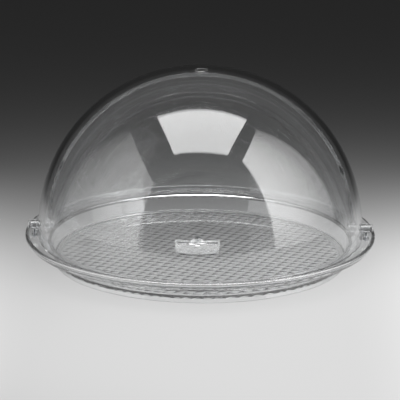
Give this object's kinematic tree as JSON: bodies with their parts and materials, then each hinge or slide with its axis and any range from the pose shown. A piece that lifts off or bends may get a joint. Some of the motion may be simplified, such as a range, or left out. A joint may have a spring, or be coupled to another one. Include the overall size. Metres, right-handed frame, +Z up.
{
  "type": "buffet tray with roll-top dome",
  "caption": "Round clear plastic buffet tray with a hemispherical roll-top cover: a front shell with a small pull rolls back on side pivots over a fixed rear shell.",
  "frame": {"origin": "on the table under the tray's centre", "axes": "+Z up, -Y towards the handle at the front, +X to the right when looking at the front"},
  "size_m": [0.38, 0.38, 0.2115],
  "materials": {
    "clear_tray": "clear, polished on top, waffle relief under the floor",
    "clear_shell": "clear, polished",
    "clear_fittings": "clear, moulded",
    "screw_steel": "plain stainless steel"
  },
  "bodies": {
    "base": {"tray": "clear_tray", "rear_dome": "clear_shell", "hinge_post_left": "clear_fittings", "hinge_post_right": "clear_fittings", "post_screw_left": "screw_steel", "post_screw_right": "screw_steel", "pivot_pin_left": "clear_fittings", "pivot_pin_right": "clear_fittings", "head_washer_left": "clear_fittings", "head_washer_right": "clear_fittings", "wall_washer_left": "clear_fittings", "wall_washer_right": "clear_fittings", "inner_spacer_left": "clear_fittings", "inner_spacer_right": "clear_fittings", "pin_cap_left": "clear_fittings", "pin_cap_right": "clear_fittings"},
    "front_cover": {"front_dome": "clear_shell", "handle": "clear_fittings", "handle_screw": "screw_steel", "handle_washer": "clear_fittings"}
  },
  "joints": [
    {"name": "cover_roll", "type": "hinge", "parent": "base", "child": "front_cover", "pos_m": [0, 0, 0.0355], "axis": [-1, 0, 0], "range_deg": [0, 70]}
  ]
}
